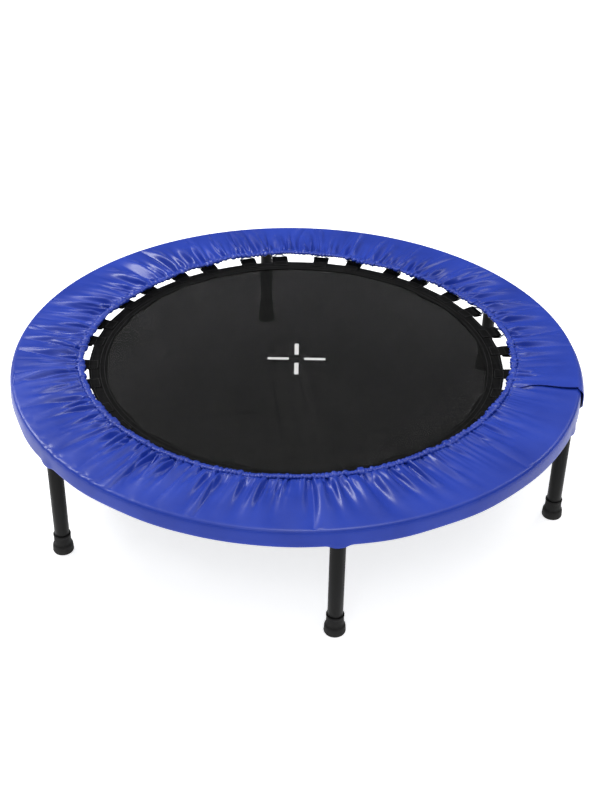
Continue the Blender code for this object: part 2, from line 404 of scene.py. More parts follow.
def makeMatWeave():
    material, shader, tree = newMaterial("black_mat_weave", matLook["dark"], 0.5)
    weave = placed(tree, weaveGroup, objectPlace(tree), Threads=matLook["threads"], Hole=matLook["hole"])
    shade = spread(tree, weave.outputs["Slubs"], 0.38, 0.62)
    tree.links.new(blendColor(tree, shade, matLook["dark"], matLook["light"]), shader.inputs["Base Color"])
    gloss = spread(tree, weave.outputs["Slubs"], 0.3, 0.7, *matLook["roughness"])
    tree.links.new(gloss, shader.inputs["Roughness"])
    tree.links.new(mathNode(tree, "SUBTRACT", 1.0, weave.outputs["Holes"]), shader.inputs["Alpha"])
    shader.inputs["Specular IOR Level"].default_value = matLook["specular"]
    bump(tree, shader, weave.outputs["Height"], 0.0003, 0.3)
    return material


def makeWebbing(name, dark, light, threads=520.0):
    material, shader, tree = newMaterial(name, dark, 0.8)
    shader.inputs["Specular IOR Level"].default_value = 0.06
    weave = placed(tree, weaveGroup, objectPlace(tree), Threads=threads, Hole=0.0)
    shade = spread(tree, weave.outputs["Slubs"], 0.35, 0.65)
    tree.links.new(blendColor(tree, shade, dark, light), shader.inputs["Base Color"])
    bump(tree, shader, weave.outputs["Height"], 0.0006, 0.8)
    return material


def makeThread(name, dark, light):
    material, shader, tree = newMaterial(name, dark, 0.6)
    twist = noise(tree, stretched(tree, objectPlace(tree), (1, 1, 3)), 900.0)
    tree.links.new(blendColor(tree, twist, dark, light), shader.inputs["Base Color"])
    bump(tree, shader, twist, 0.0002, 0.6)
    return material


paintLook = {
    "dark": (0.003, 0.003, 0.003),
    "light": (0.006, 0.006, 0.006),
    "grain": {"Fineness": 420.0, "Patches": 25.0, "Rubbing": 0.35},
    "dust": {"Reach": 0.12, "Amount": 0.05},
    "scratches": 0.12,
    "dustColor": (0.20, 0.20, 0.20),
    "roughness": (0.30, 0.46),
    "specular": 0.11,
    "bump": (0.0002, 0.25),
}

rubberLook = {
    "dark": (0.005, 0.005, 0.005),
    "light": (0.011, 0.011, 0.011),
    "grain": {"Fineness": 1500.0, "Patches": 60.0, "Rubbing": 0.5},
    "dust": {"Reach": 0.04, "Amount": 0.10},
    "scratches": 0.06,
    "dustColor": (0.25, 0.24, 0.23),
    "roughness": (0.5, 0.75),
    "specular": 0.14,
    "bump": (0.0003, 0.4),
}


def makeBlackFinish(name, look):
    # paint or rubber: fine grain, with pale scratches and floor dust on it
    material, shader, tree = newMaterial(name, look["dark"], look["roughness"][0])
    place = objectPlace(tree)
    grain = placed(tree, grainGroup, place, **look["grain"])
    dust = placed(tree, dustGroup, place, **look["dust"])
    scratches = mathNode(tree, "MULTIPLY", grain.outputs["Scratches"], look["scratches"])
    pale = mathNode(tree, "ADD", scratches, dust.outputs["Mask"], clamp=True)
    shader.inputs["Specular IOR Level"].default_value = look["specular"]
    base = blendColor(tree, grain.outputs["Patch"], look["dark"], look["light"])
    tree.links.new(blendColor(tree, pale, base, look["dustColor"]), shader.inputs["Base Color"])
    gloss = spread(tree, grain.outputs["Patch"], 0.3, 0.7, *look["roughness"])
    tree.links.new(gloss, shader.inputs["Roughness"])
    bump(tree, shader, grain.outputs["Height"], *look["bump"])
    return material


def makeZinc():
    material, shader, tree = newMaterial("zinc", (0.60, 0.61, 0.63), 0.32, 1.0)
    grain = placed(tree, grainGroup, objectPlace(tree), Fineness=700.0, Patches=160.0, Rubbing=0.6)
    base = blendColor(tree, grain.outputs["Patch"], (0.42, 0.43, 0.44), (0.72, 0.73, 0.75))
    color = blendColor(tree, grain.outputs["Scratches"], base, (0.30, 0.29, 0.27))
    tree.links.new(color, shader.inputs["Base Color"])
    tree.links.new(spread(tree, grain.outputs["Patch"], 0.3, 0.7, 0.24, 0.46), shader.inputs["Roughness"])
    bump(tree, shader, grain.outputs["Height"], 0.0001, 0.3)
    return material


def makePrint():
    material, shader, tree = newMaterial("white_print", (0.62, 0.62, 0.61), 0.6)
    weave = placed(tree, weaveGroup, objectPlace(tree), Threads=matLook["threads"], Hole=matLook["hole"])
    tree.links.new(blendColor(tree, weave.outputs["Slubs"], (0.42, 0.42, 0.41), (0.78, 0.78, 0.77)),
                   shader.inputs["Base Color"])
    bump(tree, shader, weave.outputs["Height"], 0.0004, 0.6)
    return material


blueVinyl = makeVinyl("blue_vinyl", vinylLook["specular"])
skirtVinyl = makeVinyl("skirt_vinyl", vinylLook["skirtSpecular"])
coverLining = makeLining()
matWeave = makeMatWeave()
blackWebbing = makeWebbing("black_webbing", (0.002, 0.002, 0.002), (0.008, 0.008, 0.008))
blackThread = makeThread("black_thread", (0.008, 0.008, 0.008), (0.022, 0.022, 0.022))
blueThread = makeThread("blue_thread", (0.012, 0.04, 0.30), (0.03, 0.075, 0.42))
blackPaint = makeBlackFinish("black_paint", paintLook)
blackRubber = makeBlackFinish("black_rubber", rubberLook)
zinc = makeZinc()
whitePrint = makePrint()
coverFinishes = (blueVinyl, coverLining, skirtVinyl, coverLining)
print("materials made")


def addObject(name, mesh, materials):
    obj = bpy.data.objects.new(name, mesh)
    scene.collection.objects.link(obj)
    for material in materials:
        mesh.materials.append(material)
    return obj


def gridMesh(name, points, closedAlong=False, closedAcross=False):
    # points is an array (along, across, xyz)
    along, across = points.shape[:2]
    i, j = np.meshgrid(np.arange(along if closedAlong else along - 1),
                       np.arange(across if closedAcross else across - 1), indexing="ij")
    i2, j2 = (i + 1) % along, (j + 1) % across
    faces = np.stack([i * across + j, i2 * across + j, i2 * across + j2, i * across + j2], -1)
    mesh = bpy.data.meshes.new(name)
    mesh.from_pydata(points.reshape(-1, 3).tolist(), [], faces.reshape(-1, 4).tolist())
    mesh.shade_smooth()
    return mesh


def outward(mesh, sharpDegrees=None):
    bm = bmesh.new()
    bm.from_mesh(mesh)
    bmesh.ops.remove_doubles(bm, verts=bm.verts, dist=1e-6)
    bmesh.ops.recalc_face_normals(bm, faces=bm.faces)
    bm.to_mesh(mesh)
    bm.free()
    mesh.shade_smooth()
    if sharpDegrees:
        mesh.set_sharp_from_angle(angle=math.radians(sharpDegrees))
    return mesh


def turned(name, profile, steps=64, sharpDegrees=35):
    # turns (radius, height) points round Z; points on the axis close the ends
    angles = evenTurns(steps)
    profile = np.array(profile, float)
    points = np.stack([np.outer(profile[:, 0], np.cos(angles)), np.outer(profile[:, 0], np.sin(angles)),
                       np.repeat(profile[:, 1:2], steps, 1)], -1)
    hollow = bool(profile[0, 0] > 1e-7)
    return outward(gridMesh(name, points, closedAlong=hollow, closedAcross=True), sharpDegrees)


def rounded(corners, radius, steps=4):
    # an outline of straight runs with its inner corners rounded off
    points = [Vector(corners[0])]
    for before, corner, after in zip(corners, corners[1:], corners[2:]):
        before, corner, after = Vector(before), Vector(corner), Vector(after)
        reach = min(radius, (before - corner).length / 2.01, (after - corner).length / 2.01)
        a = corner + (before - corner).normalized() * reach
        b = corner + (after - corner).normalized() * reach
        for k in range(steps + 1):
            t = k / steps
            points.append(a.lerp(corner, t).lerp(corner.lerp(b, t), t))
    points.append(Vector(corners[-1]))
    return points


def smoothPath(points, count):
    # a smooth curve through a few points, read at even steps
    p = np.array(points, float)
    p = np.vstack([2 * p[0] - p[1], p, 2 * p[-1] - p[-2]])
    out = []
    for i in range(1, len(p) - 2):
        t = np.linspace(0, 1, 16, endpoint=False)[:, None]
        a, b, c, d = p[i - 1], p[i], p[i + 1], p[i + 2]
        out.append(0.5 * (2 * b + (c - a) * t + (2 * a - 5 * b + 4 * c - d) * t ** 2
                          + (3 * b - a - 3 * c + d) * t ** 3))
    out.append(p[-2][None])
    fine = np.vstack(out)
    length = np.concatenate([[0], np.cumsum(np.linalg.norm(np.diff(fine, axis=0), axis=1))])
    at = np.linspace(0, length[-1], count)
    return np.stack([np.interp(at, length, fine[:, k]) for k in range(3)], -1)


def sweptTube(name, path, radius, sides=8, closed=False):
    # a round wire along a path, with closed ends
    path = np.array(path, float)
    if closed:
        tangent = np.roll(path, -1, 0) - np.roll(path, 1, 0)
    else:
        tangent = np.gradient(path, axis=0)
    tangent /= np.linalg.norm(tangent, axis=1)[:, None]
    side = np.cross(tangent[0], (0.31, 0.27, 0.91))
    sideOne = []
    for t in tangent:
        side = side - t * (side @ t)
        side /= np.linalg.norm(side)
        sideOne.append(side)
    sideOne = np.array(sideOne)
    sideTwo = np.cross(tangent, sideOne)
    turn = evenTurns(sides)
    radius = np.broadcast_to(np.asarray(radius, float), (len(path),))[:, None, None]
    points = path[:, None] + radius * (np.cos(turn)[None, :, None] * sideOne[:, None]
                                       + np.sin(turn)[None, :, None] * sideTwo[:, None])
    if closed:
        return outward(gridMesh(name, points, closedAlong=True, closedAcross=True))
    ends = [np.repeat(path[:1][:, None], sides, 1), np.repeat(path[-1:][:, None], sides, 1)]
    return outward(gridMesh(name, np.concatenate([ends[0], points, ends[1]]), closedAcross=True))


def stitchMesh(name, middles, directions, ups, length, radius):
    # short rounded threads, one for each stitch
    along = np.array([-1.0, -0.86, -0.4, 0.4, 0.86, 1.0]) * length / 2
    wide = np.array([0.0, 0.62, 1.0, 1.0, 0.62, 0.0]) * radius
    sink = np.array([-0.9, -0.45, 0.0, 0.0, -0.45, -0.9]) * radius
    turn = evenTurns(6)
    sideways = np.cross(directions, ups)
    high = sink[None, :, None] + wide[None, :, None] * np.sin(turn)[None, None]
    aside = wide[None, :, None] * np.cos(turn)[None, None]
    points = (middles[:, None, None] + directions[:, None, None] * along[None, :, None, None]
              + ups[:, None, None] * high[..., None] + sideways[:, None, None] * aside[..., None])
    count = len(middles)
    k, i, j = np.meshgrid(np.arange(count), np.arange(5), np.arange(6), indexing="ij")
    j2 = (j + 1) % 6
    base = k * 36 + i * 6
    faces = np.stack([base + j, base + j2, base + 6 + j2, base + 6 + j], -1)
    mesh = bpy.data.meshes.new(name)
    mesh.from_pydata(points.reshape(-1, 3).tolist(), [], faces.reshape(-1, 4).tolist())
    return outward(mesh)


def ringPoints(radius, angle, z):
    return np.stack(np.broadcast_arrays(radius * np.cos(angle), radius * np.sin(angle), z), -1)


def ridesDip(obj):
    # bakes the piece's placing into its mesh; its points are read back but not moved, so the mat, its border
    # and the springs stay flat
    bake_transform(obj)
    co = np.empty(len(obj.data.vertices) * 3)
    obj.data.vertices.foreach_get("co", co)
    co = co.reshape(-1, 3)
    return obj


cover = {
    "stripR": 0.509,         # the outer edge that gives the strip its length
    "stripWidth": 0.160,
    "simColumns": 960,
    "simRows": 30,
    "columns": 2400,
    "panelRows": 60,
    "panelEndR": 0.4990,
    "hemR": 0.3719,          # inner edge of the gathered casing, on average
    "hemWaves": [(1, 0.0018, 2), (2, 0.0052, 24), (3, 0.0028, -43), (4, 0.0044, -6), (5, 0.0019, 89)],
    "casingWidth": 0.0140,
    "casingZ": 0.2170,
    "casingHeight": 0.0084,
    "stitchZ": 0.2158,
    "ridgeZ": 0.2143,
    "crown": 0.0016,         # the panel's rise over the springs
    "puffWidth": 0.0064,     # from one gather to the next
    "simFrames": 22,
    "stiffness": 80.0,
    "bending": 0.05,
    "relief": 0.95,
    "lowest": 0.0064,        # how far a fold can sink before it lies on the springs
    "highest": 0.0110,
    "thickness": 0.0009,
    "seed": 7,
    "flapHem": -23.8,        # the overlapping end's edge, in degrees, at the hem and at the rim
    "flapRim": -20.6,
    "flapSpan": 26.0,
    "flapLift": 0.0046,
}


def slowNoise(seed, waves, low=2, high=9):
    # a smooth random curve round the ring, about -1 to 1
    chance = np.random.default_rng(seed)
    terms = [(int(k), chance.uniform(0, 2 * pi)) for k in chance.integers(low, high, waves)]
    return lambda angle: sum(np.cos(k * angle + phase) for k, phase in terms) / math.sqrt(waves / 2) / 1.4


def hemRadius(angle):
    waves = (size * np.cos(k * angle - math.radians(phase)) for k, size, phase in cover["hemWaves"])
    return cover["hemR"] + sum(waves)


def makeGathers():
    # the puffs between the gathers of the elastic: their edges round the ring, and their heights
    chance = np.random.default_rng(cover["seed"])
    count = int(2 * pi * cover["hemR"] / cover["puffWidth"])
    width = np.clip(chance.gamma(6, 1 / 6, count), 0.45, 2.0)
    width *= 2 * pi / width.sum()
    height = 0.36 * width * cover["hemR"] * chance.uniform(0.6, 1.15, count)
    return np.concatenate([[0], np.cumsum(width)]), height


puffEdges, puffHeights = makeGathers()


def gather(angle, power=0.8):
    angle = np.mod(angle, 2 * pi)
    k = np.clip(np.searchsorted(puffEdges, angle, side="right") - 1, 0, len(puffHeights) - 1)
    share = np.clip((angle - puffEdges[k]) / (puffEdges[k + 1] - puffEdges[k]), 0, 1)
    return puffHeights[k] * np.sin(pi * share) ** power


def panelZ(u):
    return cover["stitchZ"] * (1 - u) + cover["ridgeZ"] * u + cover["crown"] * np.sin(pi * u)


def panelStart():
    # the strip as it is sewn on, before the folds have settled: (rows, columns, xyz)
    angle = evenTurns(cover["simColumns"])[None, :]
    u = np.linspace(0, 1, cover["simRows"] + 1)[:, None]
    stitchR = hemRadius(angle) + cover["casingWidth"]
    radius = stitchR * (1 - u) + cover["panelEndR"] * u
    pull = math.radians(1.6) * slowNoise(5, 6)(angle) * u
    busy = 1 - 0.75 * bell(angle - math.radians(-30), 0.55)
    z = panelZ(u) + gather(angle) * np.exp(-u * 9)
    chance = np.random.default_rng(cover["seed"] + 1)
    for wavelength, size, fade in ((0.012, 0.0024, 3.0), (0.022, 0.0032, 1.6), (0.040, 0.0034, 1.0)):
        waves = 0
        for _ in range(10):
            k = int(2 * pi * cover["hemR"] / wavelength * chance.uniform(0.7, 1.4))
            waves = waves + np.cos(k * angle + chance.uniform(0, 2 * pi) + u * chance.uniform(-2.5, 2.5))
        z = z + busy * size * waves / math.sqrt(5) * np.clip(u * 6, 0, 1) * (1 - u) ** fade
    return ringPoints(radius, angle + pull, z)


def stripRest():
    # the strip's own lengths, as a band round a drum: all of it is as long as its outer edge
    angle = evenTurns(cover["simColumns"])
    slack = 1 + 0.10 * slowNoise(23, 7)(angle) - 0.14 * bell(angle - math.radians(-35), 0.5)
    around = np.concatenate([[0], np.cumsum(slack)[:-1]]) / slack.sum() * 2 * pi
    u = np.linspace(0, 1, cover["simRows"] + 1)
    width = cover["panelEndR"] - cover["hemR"] - cover["casingWidth"]
    height = np.concatenate([[0], np.cumsum(np.hypot(np.diff(u) * width, np.diff(panelZ(u))))])
    return ringPoints(cover["panelEndR"], around[None, :], height[:, None])


def settleFolds(start):
    # cloth: the edge rows are sewn down, and the rest finds its own folds
    rows, columns = start.shape[:2]
    mesh = gridMesh("strip", start, closedAcross=True)
    strip = bpy.data.objects.new("strip", mesh)
    scene.collection.objects.link(strip)
    strip.shape_key_add(name="Basis")
    rest = strip.shape_key_add(name="own_length")
    rest.data.foreach_set("co", stripRest().ravel())
    sewn = strip.vertex_groups.new(name="sewn")
    sewn.add(list(range(columns)) + list(range((rows - 1) * columns, rows * columns)), 1.0, "REPLACE")
    cloth = strip.modifiers.new("cloth", "CLOTH")
    setting = cloth.settings
    setting.quality = 6
    setting.mass = 0.01
    setting.tension_stiffness = cover["stiffness"]
    setting.compression_stiffness = cover["stiffness"]
    setting.shear_stiffness = 20
    setting.bending_stiffness = cover["bending"]
    setting.vertex_group_mass = "sewn"
    setting.rest_shape_key = rest
    setting.effector_weights.gravity = 0
    cloth.collision_settings.use_collision = False
    cloth.point_cache.frame_start = 1
    cloth.point_cache.frame_end = cover["simFrames"]
    for step in range(1, cover["simFrames"] + 1):
        scene.frame_set(step)
    settled = bpy.data.meshes.new_from_object(strip.evaluated_get(bpy.context.evaluated_depsgraph_get()))
    co = np.empty(len(settled.vertices) * 3)
    settled.vertices.foreach_get("co", co)
    bpy.data.objects.remove(strip)
    scene.frame_set(1)
    return co.reshape(rows, columns, 3)


def finerGrid(panel):
    # the same surface with more points: round the ring by its waves, across it by splitting each row
    rows, columns = panel.shape[:2]
    waves = np.fft.rfft(panel, axis=1)
    more = np.zeros((rows, cover["columns"] // 2 + 1, 3), complex)
    more[:, :waves.shape[1]] = waves
    panel = np.fft.irfft(more, n=cover["columns"], axis=1) * cover["columns"] / columns
    split = np.repeat(panel, 2, 0)[:-1]
    split[1::2] = (panel[:-1] + panel[1:]) / 2
    split[2:-2] = (split[1:-3] + 2 * split[2:-2] + split[3:-1]) / 4
    return split


tucks = {
    "seed": 131,
    # how many, depth, width at the casing, how far across the panel they run
    "short": (110, (0.0030, 0.0065), (0.0014, 0.0028), (0.25, 0.75)),
    "long": (75, (0.0022, 0.0055), (0.0012, 0.0024), (0.85, 1.35)),
}


def tuckShare(angle):
    # fewer tucks at the right, and few long ones at the front
    right = math.exp(-(math.remainder(angle - math.radians(-25), 2 * pi) / 0.62) ** 2)
    front = math.exp(-(math.remainder(angle - math.radians(-85), 2 * pi) / 0.75) ** 2)
    return 1 - 0.85 * right, 1 - 0.9 * right - 0.65 * front


def addTucks(panel):
    # creases that start in the gathers and run out across the panel, with the cloth piled up on one side
    chance = np.random.default_rng(tucks["seed"])
    u = np.linspace(0, 1, panel.shape[0])[:, None]
    angle = np.linspace(0, 2 * pi, panel.shape[1], endpoint=False)[None, :]
    radius = np.hypot(panel[..., 0], panel[..., 1])
    rise = np.zeros_like(radius)
    for kind, name in enumerate(("short", "long")):
        count, depths, widths, reaches = tucks[name]
        while count:
            middle = chance.uniform(0, 2 * pi)
            if chance.uniform(0, 1) > tuckShare(middle)[kind]:
                continue
            count -= 1
            depth, width, reach = chance.uniform(*depths), chance.uniform(*widths), chance.uniform(*reaches)
            slant, bow, side = chance.normal(0, 0.025), chance.normal(0, 0.010), chance.choice((-1, 1))
            away = shortWay(angle - middle - slant * u - bow * np.sin(pi * u)) * radius
            wide = width * (1 + 2.2 * np.minimum(u, 0.6))
            deep = depth * np.clip(1 - (u / reach) ** 1.8, 0, 1)
            rise += deep * (0.60 * np.exp(-((away * side - 2.4 * wide) / (2.0 * wide)) ** 2)
                            - np.exp(-np.abs(away / wide) ** 1.2))
    panel[..., 2] += rise
    return panel


def tuckUnder(panel):
    # a last strip of panel that runs in beneath the casing
    angle = np.linspace(0, 2 * pi, panel.shape[1], endpoint=False)[None, :]
    inside = ringPoints(hemRadius(angle) + cover["casingWidth"] * 0.45, angle, cover["casingZ"] - 0.0012)
    return np.concatenate([inside, panel])


def layOnSprings(panel):
    # folds stop where they meet the springs, and the highest ones slump
    u = np.linspace(0, 1, panel.shape[0])[:, None]
    rise = panel[..., 2] - panelZ(u)
    low, high = cover["lowest"], cover["highest"]
    rise = rise * cover["relief"]
    rise = np.where(rise < 0, low * np.tanh(rise / low), high * np.tanh(rise / high))
    panel[..., 2] = panelZ(u) + rise
    return panel


skirt = {
    "profile": [(0.5012, 0.2140), (0.5032, 0.2131), (0.5047, 0.2116), (0.5057, 0.2096), (0.5063, 0.2070),
                (0.5066, 0.2035), (0.5068, 0.1990), (0.5069, 0.1940), (0.5070, 0.1895), (0.5071, 0.1858),
                (0.5066, 0.1850), (0.5058, 0.1856), (0.5055, 0.1880), (0.5054, 0.1915)],
    "dullFrom": 3,           # row of the profile
    "puckerAngle": 214,      # where the rim puckers most, in degrees
    "puckerSize": 0.0006,
    "lipOut": 0.0026,        # how far the top of a leg pushes the skirt out, and its edge down
    "lipDown": 0.0032,
}


def skirtRows():
    angle = evenTurns(cover["columns"])[None, :]
    profile = np.array(skirt["profile"])
    share = np.clip((0.2075 - profile[:, 1:2]) / 0.0225, 0, 1)
    wave = slowNoise(41, 8, 4, 26)(angle)
    radius = profile[:, 0:1] + 0.0007 * wave * share
    z = profile[:, 1:2] + 0.0006 * slowNoise(43, 8, 3, 18)(angle) * share
    for legAngle in legAngles:
        away = shortWay(angle - legAngle)
        push = np.exp(-np.abs(away / math.radians(1.6)) ** 3)
        radius = radius + skirt["lipOut"] * push * share ** 2
        z = z - skirt["lipDown"] * push * share ** 3
    return ringPoints(radius, angle, z)


def puckerRim(grid, rim):
    # short pinches across the rim where the strip has more length than the skirt
    angle = np.linspace(0, 2 * pi, grid.shape[1], endpoint=False)
    much = 0.03 + bell(angle - math.radians(skirt["puckerAngle"]), 0.30)
    chance = np.random.default_rng(61)
    pinch = sum(np.cos(k * angle + chance.uniform(0, 2 * pi)) for k in chance.integers(60, 150, 9)) / 2.2
    pinch = -np.clip(pinch, -0.3, 1.5) * much
    for row in range(rim - 5, rim + 6):
        size = skirt["puckerSize"] * math.exp(-((row - rim) / 2.6) ** 2)
        grid[row, :, 2] += pinch * size
        grid[row, :, 0] += pinch * size * 0.7 * np.cos(angle)
        grid[row, :, 1] += pinch * size * 0.7 * np.sin(angle)
    return grid


def gridNormals(grid):
    along = np.gradient(grid, axis=0)
    across = np.roll(grid, -1, 1) - np.roll(grid, 1, 1)
    normal = np.cross(along, across)
    normal /= np.linalg.norm(normal, axis=-1)[..., None] + 1e-12
    return normal


def dullBelowRim(obj, columns):
    # the faces of the skirt below the rim get the duller vinyl; each outer finish is followed by its lining
    first = (cover["panelRows"] + 2 + skirt["dullFrom"]) * columns
    count = len(obj.data.polygons)
    obj.data.polygons.foreach_set("material_index", [2 * (k >= first) for k in range(count)])


def makeCoverPanel():
    panel = panelStart()
    panel = settleFolds(panel)
    panel = layOnSprings(addTucks(finerGrid(panel)))
    grid = puckerRim(tuckUnder(np.concatenate([panel, skirtRows()])), cover["panelRows"] + 1)
    mesh = gridMesh("cover_panel", grid, closedAcross=True)
    panel = addObject("cover_panel", mesh, coverFinishes)
    dullBelowRim(panel, grid.shape[1])
    thick = panel.modifiers.new("thickness", "SOLIDIFY")
    thick.thickness = cover["thickness"]
    thick.offset = -1
    thick.material_offset = 1
    return panel, grid


def makeFlap(grid):
    # the end of the strip that laps over the other end: it lifts towards its edge and hangs over the rim
    rows, columns = grid.shape[:2]
    steps = 190
    share = np.linspace(0, 1, steps)[None, :] ** 1.3
    u = np.clip(np.arange(rows) / cover["panelRows"], 0, 1)[:, None]
    start = cover["flapHem"] * (1 - u) + cover["flapRim"] * u + 0.5 * np.sin(u * 5)
    column = np.mod((start + share * cover["flapSpan"]) / 360 * columns, columns)
    low = np.floor(column).astype(int)
    part = (column - low)[..., None]
    row = np.arange(rows)[:, None]
    normal = gridNormals(grid)
    place = grid[row, low % columns] * (1 - part) + grid[row, (low + 1) % columns] * part
    push = normal[row, low % columns] * (1 - part) + normal[row, (low + 1) % columns] * part
    lift = cover["flapLift"] * (1 - share) ** 1.6 * (0.35 + 0.65 * u) - 0.0012 * share ** 0.5 + 0.0004
    points = place + push * lift[..., None]
    flap = addObject("cover_flap", gridMesh("cover_flap", points), coverFinishes)
    dullBelowRim(flap, steps - 1)
    thick = flap.modifiers.new("thickness", "SOLIDIFY")
    thick.thickness = cover["thickness"] * 1.6
    thick.offset = -1
    thick.material_offset = 1
    return flap


def makeCasing():
    # the gathered casing of the elastic: soft puffs with sharp valleys, right round the inner edge
    columns, sides = 3200, 16
    angle = evenTurns(columns)[:, None]
    turn = evenTurns(sides)[None, :]
    lean = 0.004 * np.sin(turn) + 0.003 * np.cos(2 * turn + 40 * angle)
    puff = gather(angle + lean, 0.6) / (0.36 * cover["puffWidth"])
    puff = np.clip(puff, 0, 1.5)
    pleats = np.abs(slowNoise(79, 12, 260, 520)(angle)) * (0.6 + 0.4 * np.sin(turn + 1.1))
    size = 0.52 + 0.50 * puff - 0.13 * np.clip(pleats, 0, 1.4)
    width = cover["casingWidth"] / 2 * (1 + 0.10 * slowNoise(71, 9, 10, 60)(angle))
    height = cover["casingHeight"] / 2 * (1 + 0.12 * slowNoise(73, 9, 10, 60)(angle))
    radius = hemRadius(angle) + cover["casingWidth"] / 2 + width * size * np.cos(turn)
    z = cover["casingZ"] + 0.0010 * slowNoise(75, 8, 5, 30)(angle) + height * size * np.sin(turn)
    casing = gridMesh("cover_casing", ringPoints(radius, angle, z), closedAlong=True, closedAcross=True)
    return addObject("cover_casing", outward(casing), (blueVinyl,))


def makeCasingStitches(grid):
    spacing = 0.0046
    count = int(2 * pi * cover["hemR"] / spacing)
    column = (np.arange(count) / count * grid.shape[1]).astype(int)
    row = 2
    middles = grid[row, column]
    ahead = grid[row, (column + 1) % grid.shape[1]] - grid[row, column - 1]
    ahead /= np.linalg.norm(ahead, axis=1)[:, None]
    up = gridNormals(grid)[row, column]
    mesh = stitchMesh("casing_stitches", middles + up * 0.0003, ahead, up, 0.0031, 0.00042)
    return addObject("casing_stitches", mesh, (blueThread,))


def makeCover():
    panel, grid = makeCoverPanel()
    flap, casing, stitches = makeFlap(grid), makeCasing(), makeCasingStitches(grid)
    for obj in (panel, flap, casing, stitches):
        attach(obj, "frame")
    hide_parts("cover")
    print("cover made")


mat = {
    "rings": 26,
    "columns": 192,
    "threadGap": 0.0044,
    "markArm": 0.052,        # the centre mark: a plain cross with an open middle
    "markOpen": 0.014,
    "markWide": 0.0075,
}
matR = matHigh.x
bandInnerR = 0.339
bandOuterR = 0.371


def makeMat():
    angle = evenTurns(mat["columns"])[None, :]
    share = np.linspace(1, 0, mat["rings"])[:, None] ** 0.9
    radius = matR * share
    ripple = 0.0006 * slowNoise(81, 8, 3, 16)(angle) * share ** 3
    top = ringPoints(radius, angle, matHigh.z - 0.0002 + ripple)
    mesh = outward(gridMesh("jump_mat_sheet", top, closedAcross=True))
    sheet = addObject("jump_mat_sheet", mesh, (matWeave,))
    if sheet.data.polygons[0].normal.z < 0:
        sheet.data.flip_normals()
    ridesDip(sheet)
    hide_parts("jump_mat")
    return sheet


def makeBorder():
    # a doubled band with rounded edges and a slight pull between the tabs
    angle = evenTurns(576)[:, None]
    tabPull = sum(bell(angle - a, math.radians(2.6)) for a in springAngles)
    middleZ, half = springZ, (borderHigh.z - borderLow.z) / 2
    corners = [(bandInnerR + 0.004, -half, 0), (bandInnerR, -half, 0), (bandInnerR, half, 0),
               (bandOuterR, half, 0), (bandOuterR, -half, 0), (bandInnerR + 0.006, -half, 0)]
    outline = np.array(rounded(corners, 0.0007, 3))
    share = (outline[None, :, 0] - bandInnerR) / (bandOuterR - bandInnerR)
    inner = 0.0019 * slowNoise(91, 9, 8, 34)(angle) * (1 - share)
    radius = outline[None, :, 0] + (0.0016 * tabPull - 0.0006) * share ** 3 + inner
    z = middleZ + outline[None, :, 1] + 0.0004 * slowNoise(93, 9, 8, 40)(angle) * (1 - share)
    mesh = gridMesh("border_band", ringPoints(radius, angle, z), closedAlong=True, closedAcross=True)
    band = addObject("border_band", outward(mesh, 50), (blackWebbing,))
    ridesDip(band)
    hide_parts("mat_border")
    rows = []
    for rowR in (bandInnerR + 0.004, bandInnerR + 0.012, bandOuterR - 0.0045):
        count = int(2 * pi * rowR / mat["threadGap"])
        a = np.arange(count) / count * 2 * pi
        ahead = np.stack([-np.sin(a), np.cos(a), 0 * a], -1)
        rows.append((ringPoints(rowR, a, middleZ + half + 0.0002), ahead))
    middles = np.concatenate([m for m, _ in rows])
    ahead = np.concatenate([d for _, d in rows])
    up = np.tile((0.0, 0.0, 1.0), (len(middles), 1))
    mesh = stitchMesh("border_stitches", middles, ahead, up, 0.0030, 0.00038)
    ridesDip(addObject("border_stitches", mesh, (blackThread,)))
    return band


tab = {
    "width": 0.030,
    "rootR": 0.353,
    "barR": 0.3893,          # the triangle ring's straight side, which the tab loops round
    "barWire": 0.0018,
    "thickness": 0.0011,
}


def makeTabs():
    # each tab is one strap: along the border's top, round the ring's bar, and back underneath
    around = tab["barWire"] + tab["thickness"] * 0.9
    top = borderHigh.z + 0.0006
    loop = [(tab["barR"] + around * math.sin(a), springZ + around * math.cos(a))
            for a in np.linspace(0.1, pi - 0.1, 9)]
    path = smoothPath([(tab["rootR"], top, 0), (tab["rootR"] + 0.010, top, 0), (0.3715, top, 0),
                       (0.380, springZ + around * 0.9, 0)] + [(r, z, 0) for r, z in loop]
                      + [(0.380, springZ - around * 0.8, 0), (0.3745, borderLow.z - 0.0004, 0)], 34)[:, :2]
    chance = np.random.default_rng(101)
    across = np.linspace(-0.5, 0.5, 13)[None, :]
    points, faces = [], []
    for angle in springAngles:
        turn = angle + chance.normal(0, 0.004)
        wide = tab["width"] * (1 + chance.normal(0, 0.02))
        radius = path[:, 0:1] + 0 * across
        z = path[:, 1:2] - 0.0005 * (np.abs(across) * 2) ** 4
        here = turnedBy(turn, radius, across * wide, z)
        base = sum(len(p) for p in points)
        points.append(here.reshape(-1, 3))
        rows, cols = here.shape[:2]
        i, j = np.meshgrid(np.arange(rows - 1), np.arange(cols - 1), indexing="ij")
        first = base + i * cols + j
        faces.append(np.stack([first, first + 1, first + cols + 1, first + cols], -1).reshape(-1, 4))
    mesh = bpy.data.meshes.new("mat_tabs")
    mesh.from_pydata(np.concatenate(points).tolist(), [], np.concatenate(faces).tolist())
    mesh.shade_smooth()
    tabs = addObject("mat_tabs", mesh, (blackWebbing,))
    thick = tabs.modifiers.new("thickness", "SOLIDIFY")
    thick.thickness = tab["thickness"]
    thick.offset = 0
    return ridesDip(tabs)


